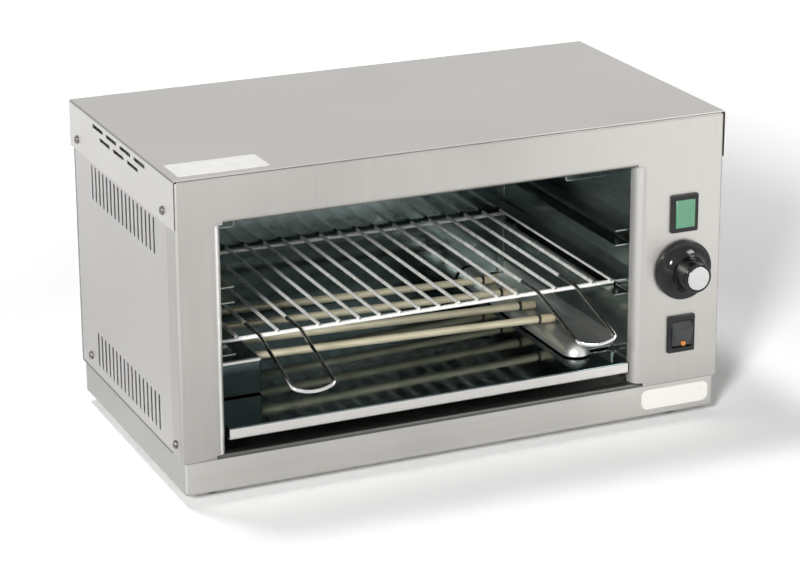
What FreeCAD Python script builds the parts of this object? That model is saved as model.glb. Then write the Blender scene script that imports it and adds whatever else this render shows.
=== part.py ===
"""Cheese melter: a stainless counter-top cabinet with one wire rack between two sets of heating rods.

Units are millimetres. +X is to the right, +Y to the back and +Z up. The origin lies under the middle
of the cabinet, on the surface that the feet stand on.
"""
import FreeCAD, Part
import math
import os

V = FreeCAD.Vector
X_AXIS, Y_AXIS, Z_AXIS = V(1, 0, 0), V(0, 1, 0), V(0, 0, 1)

# Driving sizes of the cabinet
body_width = 476.0
body_depth = 255.0
body_height = 257.0
foot_height = 9.0
sheet = 1.0
bend = 1.5
slip_gap = 0.3
slide_gap = 0.3
overrun = 20.0
full_turn = 360

# Casing: levels are measured up from the underside of the base, places back from the front face
base_strip_height = 28.0
base_overlap = 2.5
base_wall_height = 48.0
base_lip_depth = 8.0
cover_skirt = 39.0
cover_tail = 15.0
front_return = 20.0
side_tongue = 14.0
rear_flange = 15.0
front_top_flange = 12.0
fold_land = 6.0

# Mouth of the cavity in the front panel
left_stile = 38.0
right_stile = 79.0
top_rail = 39.0
reveal_depth = 8.0
reveal_bend = 3.0
jamb_depth = 12.0
jamb_bend = 8.0
corner_slit = 0.4

# Lining of the cavity
cavity_setback = 6.5
wall_rear_flange = 7.0
tray_ledge = 14.0
ledge_front = 12.5
ceiling_rise = 2.0
ceiling_overhang = 4.0
ceiling_front_flange = 18.0
ceiling_rear_flange = 10.0
liner_rise = 8.0
lead_hole_dia = 3.4

# Rack guides
guide_height = 13.5
guide_width = 14.0
guide_level_shares = (0.232, 0.612)
guide_front = 12.5
guide_rear_gap = 1.5

# Wire rack
grid_wire = 3.0
cross_wire = 3.6
grid_bays = 20
grid_edge = 3.0
rack_side_gap = 1.5
weld_sink = 0.5
front_cross_place = 37.0
rear_cross_inset = 13.0
wire_end = 2.5
handle_near_bays = 6
handle_far_bays = 8
handle_splice_place = 60.0
handle_bend_place = 30.0
handle_reach = 41.0
handle_drop = 20.0
handle_lean = 2.0
handle_dip = 5.5
handle_top_bend = 14.0
handle_corner_bend = 5.0
handle_bow_bend = 38.0

# Crumb tray
tray_level = 50.0
tray_lip_height = 10.0
tray_hem = 5.0
tray_front = 4.0
tray_side_gap = 4.5
tray_rear_gap = 1.5
tray_bend = 0.8

# Heating rods
rod_count = 4
rod_dia = 6.5
first_rod_place = 87.0
last_rod_inset = 57.0
rod_hole_gap = 0.5
rod_overlap = 5.0
cap_dia = 7.4
cap_length = 13.0
ferrule_dia = 7.6
ferrule_length = 2.5
pin_dia = 1.8
pin_spread = 4.0
pin_length = 8.0
link_thickness = 0.8
link_height = 2.6
link_overhang = 4.0
link_gap = 0.2
lower_rod_left_level = 74.2
lower_rod_right_level = 66.6
lower_rod_right_gap = 44.5
upper_rod_drop = 20.0

# Holders of the rods
terminal_cover_width = 55.0
terminal_cover_top = 81.0
terminal_cover_front = 64.0
terminal_cover_bend = 2.5
tray_clearance = 1.5
cradle_radius = 12.5
cradle_front = 40.0
cradle_inset = 35.0
cradle_flange = 12.0
rod_bracket_width = 34.0
rod_bracket_height = 27.0
rod_bracket_front = 64.0

# Air slots
louvre_count = 17
louvre_pitch = 9.6
louvre_width = 3.4
louvre_height = 30.0
louvre_shift = 2.9
upper_louvre_drop = 58.6
lower_louvre_level = 52.8
skirt_slot_length = 26.5
skirt_slot_height = 3.2
skirt_slot_pitch = 34.5
skirt_slot_counts = (4, 3)
skirt_slot_drop = 6.2
skirt_slot_row_pitch = 7.4
back_slot_length = 36.0
back_slot_height = 4.0
back_slot_pitch = 12.0
back_slot_count = 6
back_slot_level = 140.0
back_slot_shift = 15.0
floor_slot_length = 50.0
floor_slot_width = 4.0
floor_slot_pitch = 11.0
floor_slot_shift = 4.0
left_floor_slot_count = 2
right_floor_slot_count = 5

# Controls on the right stile
control_share = 0.4519
lamp_level = 174.5
knob_level = 126.0
switch_level = 70.0
cutout_width = 22.0
cutout_height = 30.0
cutout_gap = 0.2
bezel_width = 25.0
bezel_height = 32.0
bezel_proud = 2.8
bezel_round = 1.2
lens_width = 18.0
lens_height = 24.0
lens_proud = 1.0
lens_depth = 6.0
lens_round = 1.0
lens_gap = 0.1
lamp_body_depth = 24.0
switch_body_depth = 28.0
tab_width = 6.3
tab_thickness = 0.8
tab_length = 8.0
tab_spacing = 11.0

# Rocker
rocker_radius = 11.2
rocker_gap = 0.4
rocker_width = 18.2
rocker_pivot_place = 2.0
rocker_well_depth = 12.0
rocker_top_set = 1.4
rocker_crest_proud = 2.6
rocker_crest_rise = 4.0
rocker_foot_proud = 1.0
rocker_back_depth = 5.0
rocker_back_half = 8.0
rocker_pin_dia = 3.0
rocker_pin_reach = 0.9
rocker_pin_gap = 0.05
window_dia = 4.0
window_depth = 2.0
window_drop = 7.2
window_gap = 0.05

# Timer and knob
timer_width = 42.0
timer_height = 46.0
timer_depth = 34.0
timer_round = 3.0
bushing_dia = 9.0
bushing_length = 4.0
shaft_dia = 6.0
shaft_gap = 0.06
shaft_reach = 20.0
shaft_depth = 12.0
knob_stand_off = 1.2
knob_skirt_dia = 50.0
knob_edge = 3.0
knob_neck_dia = 27.0
knob_neck_height = 14.0
knob_flare_dia = 32.0
knob_flare_height = 7.5
knob_grip_dia = 25.0
knob_height = 25.5
knob_front_round = 1.5
knob_recess_dia = 44.0
knob_recess_depth = 3.0
knob_boss_dia = 14.0
knob_cap_dia = 19.5
knob_cap_depth = 1.6
knob_cap_proud = 0.8
knob_cap_gap = 0.05
timer_screw_spacing = 28.0
timer_screw_dia = 4.0
timer_screw_head_dia = 7.0
timer_screw_head = 1.0
timer_screw_length = 6.0

# Feet and fasteners
foot_dia = 22.0
foot_taper = 1.5
foot_inset = 29.0
foot_recess_dia = 12.0
foot_recess_depth = 5.0
foot_screw_dia = 4.0
foot_screw_head_dia = 8.0
foot_screw_head = 2.6
foot_nut_flats = 7.0
foot_nut_height = 3.0
foot_thread_end = 1.5
screw_dia = 3.6
screw_head_dia = 7.0
screw_head = 2.0
screw_rim = 0.9
screw_crown_dia = 4.6
screw_length = 7.0
screw_slot_width = 1.0
screw_slot_depth = 0.9
skirt_screw_rise = 9.5
front_screw_place = 24.0
rear_screw_inset = 19.0
low_screw_level = 40.5
low_front_screw_place = 13.5
low_rear_screw_inset = 26.0
back_screw_inset = 9.0
back_low_screw_level = 40.0
back_high_screw_level = 130.0
rivet_dia = 3.2
rivet_head_dia = 5.6
rivet_head = 1.1
rivet_inset = 22.0

# Supply side
block_length = 44.0
block_width = 20.0
block_height = 17.0
block_pitch = 14.0
block_ways = 3
block_bore_dia = 4.5
block_bore_level = 7.0
block_screw_dia = 3.6
block_place = 196.0
gland_level = 66.0
gland_shift = 4.0
gland_thread_dia = 16.0
gland_bore_dia = 8.0
gland_flats = 19.0
gland_hex_height = 5.0
gland_dome_dia = 17.0
gland_dome_height = 11.0
gland_thread_length = 9.0
gland_nut_height = 4.0
earth_shift = 23.0
earth_place = 150.0
earth_dia = 5.0
earth_length = 16.0
earth_flats = 8.0
earth_nut = 4.0
earth_washer_dia = 10.0
earth_washer_thickness = 1.0

# Inner wires
lead_dia = 2.4
lead_bend = 6.0
lead_over_ceiling = 20.0
lead_front_place = 60.0
lead_spacing = 8.0
lead_left_gap = 17.0
lead_earth_bend = 3.0
lead_earth_step = 12.0

# Planes of the sheets
cover_half = body_width / 2
frame_half = cover_half - sheet - slip_gap
side_half = frame_half - sheet - slip_gap
base_half = side_half - sheet - slip_gap
front_y = -body_depth / 2
back_y = body_depth / 2
base_z = foot_height
floor_top = base_z + sheet
casing_bottom = base_z + base_strip_height
strip_top = casing_bottom + base_overlap
top_z = base_z + body_height
casing_top = top_z - sheet
casing_rim = casing_top - bend
panel_back_y = front_y + sheet
back_panel_y = back_y - sheet
base_front_y = panel_back_y + slip_gap
base_back_y = back_panel_y - sheet - slip_gap
outer_bend = bend + sheet

# Mouth and cavity
mouth_left = left_stile - frame_half
mouth_right = frame_half - right_stile
mouth_top = top_z - top_rail
cavity_x = (mouth_left + mouth_right) / 2
wall_half = (mouth_right - mouth_left) / 2 + sheet + slip_gap
wall_x = cavity_x - wall_half
cavity_back_y = back_y - cavity_setback
wall_end_y = cavity_back_y - sheet
lining_front_y = panel_back_y + slip_gap
wall_front_y = front_y + jamb_bend + sheet + slip_gap
ceiling_z = mouth_top + ceiling_rise
tray_top = base_z + tray_level
ledge_top = tray_top - sheet - slide_gap
tray_rear_y = wall_end_y - tray_rear_gap
cover_box_x = wall_x + terminal_cover_width
cover_box_bottom = tray_top + tray_clearance
bracket_x = wall_x + rod_bracket_width
cradle_x = cavity_x + wall_half - cradle_inset
control_x = frame_half - right_stile * control_share
gland_x = control_x + gland_shift
earth_x = control_x + earth_shift
left_bay_x = wall_x - lead_left_gap

# Levels and pitches inside the cavity
rod_pitch = (body_depth - first_rod_place - last_rod_inset) / (rod_count - 1)
rod_link_place = first_rod_place + rod_pitch / 2
lead_entry_place = lead_front_place + lead_spacing * 2 + slip_gap
upper_rod_z = ceiling_z - upper_rod_drop
guide_zone_low = base_z + terminal_cover_top
guide_zone_high = ceiling_z - rod_bracket_height
lower_guide_z, upper_guide_z = [guide_zone_low + (guide_zone_high - guide_zone_low) * share
                                for share in guide_level_shares]
rack_half = wall_half - sheet - rack_side_gap
grid_bay = 2 * (rack_half - grid_edge) / grid_bays


def at_place(place):
    """Y of a place measured back from the face of the front panel."""
    return front_y + place


def at_level(level):
    """Z of a level measured up from the underside of the base."""
    return base_z + level


def box(x, y, z):
    """Box between pairs of limits along the three axes."""
    size = [high - low for low, high in (x, y, z)]
    return Part.makeBox(size[0], size[1], size[2], V(x[0], y[0], z[0]))


def bar(start, end, diameter):
    """Round bar between two points."""
    run = end - start
    return Part.makeCylinder(diameter / 2, run.Length, start, run)


def bore(centre, diameter, axis):
    """Cutter for a round hole through a sheet at a point."""
    return Part.makeCylinder(diameter / 2, 2 * overrun, centre - axis * overrun, axis)


def hexagon(centre, flats, height, axis):
    """Six-sided nut blank standing on a point."""
    start = X_AXIS if abs(axis.dot(X_AXIS)) < abs(axis.dot(Y_AXIS) + axis.dot(Z_AXIS)) else Y_AXIS
    radius = flats / math.sqrt(3)
    other = axis.cross(start)
    angles = [math.pi * step / 3 for step in range(6)]
    points = [centre + start * (radius * math.cos(a)) + other * (radius * math.sin(a)) for a in angles]
    return Part.Face(Part.makePolygon(points + points[:1])).extrude(axis * height)


def fuse(shapes):
    """One clean solid from pieces that touch or cross."""
    return shapes[0].fuse(list(shapes[1:])).removeSplitter()


def rounded_edges(shape, radius, keep):
    """The shape with the edges rounded whose middle passes a test."""
    edges = [edge for edge in shape.Edges if keep(edge.CenterOfMass)]
    return shape.makeFillet(radius, edges)


def rounded_path(points, radii):
    """Edges of a path of straight runs joined by tangent arcs."""
    edges = []
    start = points[0]
    for before, corner, after, radius in zip(points, points[1:], points[2:], radii):
        back = (before - corner).normalize()
        ahead = (after - corner).normalize()
        half = back.getAngle(ahead) / 2
        inward = (back + ahead).normalize()
        first = corner + back * (radius / math.tan(half))
        last = corner + ahead * (radius / math.tan(half))
        middle = corner + inward * (radius / math.sin(half) - radius)
        edges.append(Part.LineSegment(start, first).toShape())
        edges.append(Part.Arc(first, middle, last).toShape())
        start = last
    edges.append(Part.LineSegment(start, points[-1]).toShape())
    return edges


def beside(points, normal, distance):
    """A path shifted to its left by a distance, mitred at the corners."""
    steps = [(b - a).normalize() for a, b in zip(points, points[1:])]
    lefts = [normal.cross(step) for step in steps]
    moved = [points[0] + lefts[0] * distance]
    for point, one, other in zip(points[1:], lefts, lefts[1:]):
        moved.append(point + (one + other) * (distance / (1 + one.dot(other))))
    moved.append(points[-1] + lefts[-1] * distance)
    return moved


def folded(points, pull, inner_bend):
    """Bent sheet: its face line, with the metal to the left of it, pulled along a direction."""
    normal = V(pull).normalize()
    steps = [(b - a).normalize() for a, b in zip(points, points[1:])]
    turns = [one.cross(other).dot(normal) for one, other in zip(steps, steps[1:])]
    face_radii = [inner_bend + sheet if turn > 0 else inner_bend for turn in turns]
    back_radii = [inner_bend if turn > 0 else inner_bend + sheet for turn in turns]
    shifted = beside(points, normal, sheet)
    edges = rounded_path(points, face_radii)
    edges += rounded_path(shifted[::-1], back_radii[::-1])
    edges.append(Part.LineSegment(points[-1], shifted[-1]).toShape())
    edges.append(Part.LineSegment(shifted[0], points[0]).toShape())
    outline = Part.Wire(Part.__sortEdges__(edges))
    return Part.Face(outline).extrude(pull)


def plan(points, low, high, inner_bend=bend):
    """Bent sheet seen from above, standing between two heights."""
    return folded([V(x, y, low) for x, y in points], V(0, 0, high - low), inner_bend)


def front_view(points, near, far, inner_bend=bend):
    """Bent sheet seen from the front, running between two depths."""
    return folded([V(x, near, z) for x, z in points], V(0, far - near, 0), inner_bend)


def side_view(points, left, right, inner_bend=bend):
    """Bent sheet seen from the side, running between two widths."""
    return folded([V(left, y, z) for y, z in points], V(right - left, 0, 0), inner_bend)


def bent_wire(points, radii, diameter):
    """Round wire along a rounded path."""
    path = Part.Wire(rounded_path(points, radii))
    section = Part.Wire([Part.makeCircle(diameter / 2, points[0], points[1] - points[0])])
    return path.makePipeShell([section], True, False)


def air_slot(centre, length, width, axis, along):
    """Round-ended cutter: axis goes through the sheet, along is the slot's long way."""
    half_run = along * ((length - width) / 2)
    across = axis.cross(along) * (width / 2)
    start = centre - axis * overrun
    ends = [Part.makeCylinder(width / 2, 2 * overrun, start + half_run * side, axis) for side in (-1, 1)]
    points = [start - half_run - across, start + half_run - across,
              start + half_run + across, start - half_run + across]
    middle = Part.Face(Part.makePolygon(points + points[:1])).extrude(axis * (2 * overrun))
    return fuse([middle] + ends)


def mirrored(shape):
    """The same piece on the other side of the cabinet's middle."""
    return shape.mirror(V(), X_AXIS)


def across_cavity(shape):
    """The same piece on the other side of the cavity's middle."""
    return shape.mirror(V(cavity_x, 0, 0), X_AXIS)


def save(name, shapes):
    """Write a node: one solid, or a group of separate solids."""
    whole = shapes if isinstance(shapes, Part.Shape) else Part.makeCompound(shapes)
    whole.exportStep("parts/%s.step" % name)


# Sheet screws: a place on the sheet's outer face and the way the screw points
def cover_screw_places():
    """Places and directions of the screws through the two skirts of the top cover."""
    level = top_z - cover_skirt + skirt_screw_rise
    return [(V(side * cover_half, at_place(place), level), X_AXIS * -side)
            for side in (-1, 1) for place in (front_screw_place, body_depth - rear_screw_inset)]


def side_screw_places():
    """Places and directions of the low screws, one through each return and each side panel."""
    level = at_level(low_screw_level)
    spots = ((frame_half, low_front_screw_place), (side_half, body_depth - low_rear_screw_inset))
    return [(V(side * half, at_place(place), level), X_AXIS * -side)
            for side in (-1, 1) for half, place in spots]


def back_screw_places():
    """Places and directions of the screws in the back panel and in the tail of the top cover."""
    edge = side_half - back_screw_inset
    low = [(V(side * edge, back_y, at_level(level)), -Y_AXIS)
           for side in (-1, 1) for level in (back_low_screw_level, back_high_screw_level)]
    high = [(V(side * edge, back_y + sheet, top_z - cover_tail / 2), -Y_AXIS) for side in (-1, 1)]
    return low + high


def screw(place, way):
    """Pan head screw with one slot, seated on a sheet: a low rim under a sloping crown."""
    rim = Part.makeCylinder(screw_head_dia / 2, screw_rim, place, -way)
    crown = Part.makeCone(screw_head_dia / 2, screw_crown_dia / 2, screw_head - screw_rim,
                          place - way * screw_rim, -way)
    top = place - way * screw_head
    shank = Part.makeCylinder(screw_dia / 2, screw_length, place, way)
    across = Z_AXIS * (screw_slot_width / 2)
    long_way = way.cross(Z_AXIS) * screw_head_dia
    points = [top - long_way - across, top + long_way - across,
              top + long_way + across, top - long_way + across]
    slot = Part.Face(Part.makePolygon(points + points[:1])).extrude(way * screw_slot_depth)
    return fuse([rim, crown, shank]).cut(slot)


def screws(places):
    """One screw at each place."""
    return [screw(place, way) for place, way in places]


def screw_bores():
    """Clearance bores for every sheet screw."""
    places = cover_screw_places() + side_screw_places() + back_screw_places()
    radius = (screw_dia + slip_gap) / 2
    return [Part.makeCylinder(radius, 2 * screw_length, place - way * screw_length, way)
            for place, way in places]


# Base pan: one sheet folded up on four sides, with a lip along the strip at the front
def base_pan():
    wall_top = at_level(base_wall_height)
    land = outer_bend + fold_land
    line = [(base_front_y + base_lip_depth, strip_top), (base_front_y, strip_top),
            (base_front_y, base_z), (base_back_y, base_z), (base_back_y, wall_top)]
    pieces = [side_view(line, outer_bend - base_half, base_half - outer_bend)]
    line = [(base_half, wall_top), (base_half, base_z), (-base_half, base_z), (-base_half, wall_top)]
    pieces.append(front_view(line, base_front_y + outer_bend, base_back_y - outer_bend))
    front_line = [(-base_half, base_front_y + land), (-base_half, base_front_y),
                  (land - base_half, base_front_y)]
    back_line = [(land - base_half, base_back_y), (-base_half, base_back_y),
                 (-base_half, base_back_y - land)]
    front_corner = plan(front_line, base_z + outer_bend, strip_top - outer_bend)
    back_corner = plan(back_line, base_z + outer_bend, wall_top)
    for corner in (front_corner, back_corner):
        pieces += [corner, mirrored(corner)]
    holes = screw_bores() + floor_slots()
    holes += [bore(point, foot_screw_dia + slip_gap, Z_AXIS) for point in foot_places()]
    holes.append(bore(V(earth_x, at_place(earth_place), floor_top), earth_dia + slip_gap, Z_AXIS))
    return fuse(pieces).cut(holes)


def floor_slots():
    """Cutters for the air slots in the floor of the two side compartments."""
    slots = []
    rows = ((left_bay_x, left_floor_slot_count), (control_x - floor_slot_shift, right_floor_slot_count))
    for centre, count in rows:
        for step in range(count):
            spot = V(centre + (step - (count - 1) / 2) * floor_slot_pitch, 0, base_z)
            slots.append(air_slot(spot, floor_slot_length, floor_slot_width, Z_AXIS, Y_AXIS))
    return slots


# Front panel: top rail and two stiles in one sheet, wrapped round the sides, with a folded-in mouth
def front_panel():
    line = [(-frame_half, at_place(front_return)), (-frame_half, front_y),
            (frame_half, front_y), (frame_half, at_place(front_return))]
    skin = plan(line, casing_bottom, casing_rim)
    deep = (front_y - overrun, front_y + outer_bend)
    head_start, jamb_start = reveal_bend + sheet, jamb_bend + sheet
    low, high = strip_top + slip_gap, mouth_top - corner_slit
    cuts = [box((mouth_left - jamb_start, mouth_right + jamb_start), deep, (casing_bottom - overrun, high)),
            box((mouth_left, mouth_right), deep, (low, mouth_top + head_start)),
            box((outer_bend - frame_half, frame_half - outer_bend), deep, (casing_top - outer_bend, top_z))]
    skin = skin.cut(cuts)
    land = jamb_start + fold_land
    inside = at_place(jamb_depth)
    left = plan([(mouth_left - land, front_y), (mouth_left, front_y), (mouth_left, inside)],
                low, high, jamb_bend)
    right = plan([(mouth_right, inside), (mouth_right, front_y), (mouth_right + land, front_y)],
                 low, high, jamb_bend)
    head_top = mouth_top + head_start + fold_land
    head = side_view([(front_y, head_top), (front_y, mouth_top), (at_place(reveal_depth), mouth_top)],
                     mouth_left, mouth_right, reveal_bend)
    brow = side_view([(at_place(front_top_flange), casing_top), (front_y, casing_top),
                      (front_y, casing_top - outer_bend - fold_land)],
                     outer_bend - frame_half, frame_half - outer_bend)
    panel = fuse([skin, left, right, head, brow])
    holes = screw_bores()
    for level in (lamp_level, switch_level):
        holes.append(control_block(level, cutout_width, cutout_height, deep[0], deep[1]))
    holes.append(bore(V(control_x, front_y, at_level(knob_level)), bushing_dia + slip_gap, Y_AXIS))
    for place in timer_screw_places():
        holes.append(bore(place, timer_screw_dia + slip_gap, Y_AXIS))
    return panel.cut(holes)


# Side panel: flat skin with two groups of upright air slots and a flange at the back
def side_panel():
    line = [(rear_flange - side_half, back_panel_y), (-side_half, back_panel_y),
            (-side_half, at_place(front_return - side_tongue))]
    skin = plan(line, casing_bottom, casing_rim)
    holes = screw_bores()
    first = louvre_shift - louvre_pitch * (louvre_count - 1) / 2
    for level in (body_height - upper_louvre_drop, lower_louvre_level):
        for step in range(louvre_count):
            spot = V(-side_half, first + step * louvre_pitch, at_level(level))
            holes.append(air_slot(spot, louvre_height, louvre_width, X_AXIS, Z_AXIS))
    return skin.cut(holes)


# Top cover: a lid with deep side skirts that slip over the casing, and a tail over the back panel
def top_cover():
    low = top_z - cover_skirt
    line = [(-cover_half, low), (-cover_half, top_z), (cover_half, top_z), (cover_half, low)]
    lid = front_view(line, front_y, back_y)
    tail_y = back_y + sheet
    line = [(tail_y, top_z - cover_tail), (tail_y, top_z), (back_y - cover_tail, top_z)]
    tail = side_view(line, outer_bend - cover_half, cover_half - outer_bend)
    holes = screw_bores()
    for side in (-1, 1):
        for row, count in enumerate(skirt_slot_counts):
            z = top_z - skirt_slot_drop - row * skirt_slot_row_pitch
            for step in range(count):
                y = (step - (count - 1) / 2) * skirt_slot_pitch
                spot = V(side * cover_half, y, z)
                holes.append(air_slot(spot, skirt_slot_length, skirt_slot_height, X_AXIS, Y_AXIS))
    return fuse([lid, tail]).cut(holes)


# Back panel: flat sheet with air slots behind the controls and the hole for the cable gland
def back_panel():
    plate = box((-side_half, side_half), (back_panel_y, back_y), (casing_bottom, casing_rim))
    holes = screw_bores()
    for step in range(back_slot_count):
        spot = V(control_x - back_slot_shift, back_y, at_level(back_slot_level) + step * back_slot_pitch)
        holes.append(air_slot(spot, back_slot_length, back_slot_height, Y_AXIS, X_AXIS))
    holes.append(bore(V(gland_x, back_y, at_level(gland_level)), gland_thread_dia + slip_gap, Y_AXIS))
    return plate.cut(holes)


# Inner wall: cavity lining that laps the jamb of the mouth, with a flange on the back liner and a tray ledge
def inner_wall():
    line = [(wall_x, wall_front_y), (wall_x, wall_end_y), (wall_x + wall_rear_flange, wall_end_y)]
    low = ledge_top + bend
    skin = plan(line, low, ceiling_z)
    line = [(wall_x, low + fold_land), (wall_x, ledge_top), (wall_x + tray_ledge, ledge_top)]
    ledge = front_view(line, at_place(ledge_front), wall_end_y - outer_bend)
    holes = [bore(V(wall_x, y, z), rivet_dia + slip_gap, X_AXIS) for y, z in rivet_spots()]
    lower_z = at_level(lower_rod_left_level)
    ways = ((rod_link_place, lower_z), (rod_link_place, upper_rod_z), (lead_entry_place, lower_z))
    holes += [bore(V(wall_x, at_place(place), z), lead_hole_dia, X_AXIS) for place, z in ways]
    return fuse([skin, ledge]).cut(holes)


# Back liner and ceiling: polished reflectors behind and above the food
def cavity_back():
    reach = wall_half + sheet
    return box((cavity_x - reach, cavity_x + reach), (cavity_back_y, cavity_back_y + sheet),
               (ledge_top + bend, ceiling_z + liner_rise))


def ceiling_reflector():
    reach = wall_half + sheet + ceiling_overhang
    rear_y = cavity_back_y - slip_gap
    line = [(lining_front_y, ceiling_z + ceiling_front_flange), (lining_front_y, ceiling_z),
            (rear_y, ceiling_z), (rear_y, ceiling_z + ceiling_rear_flange)]
    return side_view(line, cavity_x - reach, cavity_x + reach)


# Rack guides: channels riveted to the inner walls, open toward the cavity
def guide(low):
    high = low + guide_height
    edge = wall_x + guide_width
    line = [(edge, low), (wall_x, low), (wall_x, high), (edge, high)]
    channel = front_view(line, at_place(guide_front), wall_end_y - guide_rear_gap)
    return channel.cut([bore(V(wall_x, y, z), rivet_dia + slip_gap, X_AXIS) for y, z in rivet_spots()])


def rivet_spots():
    """Y and Z of the rivets through one wall and its two guides."""
    levels = [low + guide_height / 2 for low in (lower_guide_z, upper_guide_z)]
    ends = [at_place(guide_front) + rivet_inset, wall_end_y - guide_rear_gap - rivet_inset]
    return [(y, z) for y in ends for z in levels]


def guide_rivets():
    """Blind rivets with a low head inside the channel and a smaller one behind the wall."""
    rivets = []
    for y, z in rivet_spots():
        face = V(wall_x + sheet, y, z)
        back = V(wall_x - sheet, y, z)
        parts = [Part.makeCylinder(rivet_head_dia / 2, rivet_head, face, X_AXIS),
                 Part.makeCylinder(rivet_head_dia / 2, rivet_head, back, -X_AXIS),
                 bar(back, face, rivet_dia)]
        rivet = fuse(parts)
        rivets += [rivet, across_cavity(rivet)]
    return rivets


# Wire rack: long wires side by side, welded on two cross wires that slide in the lower guides
rack_cross_z = lower_guide_z + sheet + slide_gap + cross_wire / 2
rack_grid_z = rack_cross_z + cross_wire / 2 + grid_wire / 2 - weld_sink


def cross_wires():
    return [bar(V(cavity_x - rack_half, at_place(place), rack_cross_z),
                V(cavity_x + rack_half, at_place(place), rack_cross_z), cross_wire)
            for place in (front_cross_place, body_depth - rear_cross_inset)]


def rack_grid():
    wires = cross_wires()
    half_bays = grid_bays // 2
    rear = at_place(body_depth - rear_cross_inset + wire_end)
    for bay in range(-half_bays, half_bays + 1):
        x = cavity_x + bay * grid_bay
        spliced = abs(bay) in (handle_near_bays, handle_far_bays)
        front = handle_splice_place if spliced else front_cross_place - wire_end
        wires.append(bar(V(x, at_place(front), rack_grid_z), V(x, rear, rack_grid_z), grid_wire))
    return fuse(wires)


# Rack handle: one wire spliced to two grid wires, bent down and forward into a finger loop
def rack_handle(side):
    inner, outer = [cavity_x + side * bay * grid_bay for bay in (handle_near_bays, handle_far_bays)]
    left, right = min(inner, outer), max(inner, outer)
    tip_y, tip_z = front_y - handle_reach, rack_grid_z - handle_drop
    low_y, low_z = tip_y - handle_lean, tip_z - handle_dip
    leg = [(at_place(handle_splice_place), rack_grid_z), (at_place(handle_bend_place), rack_grid_z),
           (tip_y, tip_z)]
    points = [V(left, y, z) for y, z in leg]
    points.append(V((left + right) / 2, low_y, low_z))
    points += [V(right, y, z) for y, z in leg[::-1]]
    bends = [handle_top_bend, handle_corner_bend, handle_bow_bend, handle_corner_bend, handle_top_bend]
    return bent_wire(points, bends, grid_wire).cut(cross_wires())


# Crumb tray: one sheet with a turned-down, hemmed front
def crumb_tray():
    reach = wall_half - tray_side_gap
    near, low = at_place(tray_front), tray_top - tray_lip_height
    line = [(tray_rear_y, tray_top), (near, tray_top), (near, low), (near + tray_hem, low)]
    return side_view(line, cavity_x - reach, cavity_x + reach, tray_bend)


# Heating rods: tubes with a ceramic cap at each end and two terminal pins at the left
def rod_places():
    return [at_place(first_rod_place + step * rod_pitch) for step in range(rod_count)]


lower_left_end = V(cover_box_x - rod_overlap, 0, at_level(lower_rod_left_level))
lower_right_end = V(cavity_x + wall_half - lower_rod_right_gap, 0, at_level(lower_rod_right_level))
upper_left_end = V(bracket_x - rod_overlap, 0, upper_rod_z)
upper_right_end = V(2 * cavity_x - upper_left_end.x, 0, upper_rod_z)


def along_rods(left, right, start, end, diameter, rise=0):
    """The same bar on each rod, from a distance outside the left end to one outside the right end."""
    way = (right - left).normalize()
    lift = way.cross(Y_AXIS) * rise
    first, last = left - way * start + lift, end + lift
    return [bar(first + V(0, y, 0), last + V(0, y, 0), diameter) for y in rod_places()]


def rods(left, right):
    return along_rods(left, right, 0, right, rod_dia)


def rod_caps(left, right):
    """Ceramic caps butted on both ends of the rods."""
    way = (right - left).normalize()
    caps = along_rods(left, right, cap_length, left, cap_dia)
    return caps + along_rods(right, right + way, 0, right + way * cap_length, cap_dia)


def pierced_caps(left, right):
    """Ceramic caps with bores for the terminal pins in the left ones."""
    pins = rod_pins(left, right)
    return [cap.cut(pins) for cap in rod_caps(left, right)]


def rod_pins(left, right):
    """Two terminal pins in each left cap."""
    pins = []
    for rise in (-pin_spread / 2, pin_spread / 2):
        pins += along_rods(left, right, cap_length + pin_length, left, pin_dia, rise)
    return pins


def rod_ferrules(left, right):
    """Dark rings round the right ends of the tubes, against the caps."""
    way = (right - left).normalize()
    rings = along_rods(right - way * ferrule_length, right, 0, right, ferrule_dia)
    return [ring.cut(rods(left, right)) for ring in rings]


def rod_links(left, right):
    """Two strips that join the pins of a set of rods."""
    way = (right - left).normalize()
    centre = left - way * (cap_length + pin_length + link_gap)
    places = rod_places()
    span = (places[0] - link_overhang, places[-1] + link_overhang)
    strips = []
    for rise in (-pin_spread / 2, pin_spread / 2):
        z = centre.z + rise
        strips.append(box((centre.x - link_thickness, centre.x), span,
                          (z - link_height / 2, z + link_height / 2)))
    return strips


# Terminal cover: folded box on the left wall that hides the terminals of the lower rods
def terminal_cover():
    top = at_level(terminal_cover_top)
    near, far = at_place(terminal_cover_front), wall_end_y - bend
    outside = box((wall_x, cover_box_x), (near, far), (cover_box_bottom, top))
    inside = box((wall_x - sheet, cover_box_x - sheet), (near + sheet, far + sheet),
                 (cover_box_bottom - sheet, top - sheet))
    outside = rounded_edges(outside, terminal_cover_bend,
                            lambda m: near_edges(m, (cover_box_x, near, top), cover_box_bottom, far, wall_x))
    inside = rounded_edges(inside, terminal_cover_bend - sheet,
                           lambda m: near_edges(m, (cover_box_x - sheet, near + sheet, top - sheet),
                                                cover_box_bottom - sheet, far + sheet, wall_x - sheet))
    holes = along_rods(lower_left_end, lower_right_end, cap_length, lower_right_end, rod_dia + rod_hole_gap)
    room = along_rods(lower_left_end, lower_right_end, cap_length, lower_left_end, cap_dia + rod_hole_gap)
    return outside.cut([inside] + holes + room)


def near_edges(middle, corner, low, far, left):
    """True for the middles of the three box edges that meet in a corner."""
    on = [abs(middle.x - corner[0]) < slip_gap, abs(middle.y - corner[1]) < slip_gap,
          abs(middle.z - corner[2]) < slip_gap]
    inner = low < middle.z and middle.y < far and middle.x > left
    return inner and sum(on) == 2


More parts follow.
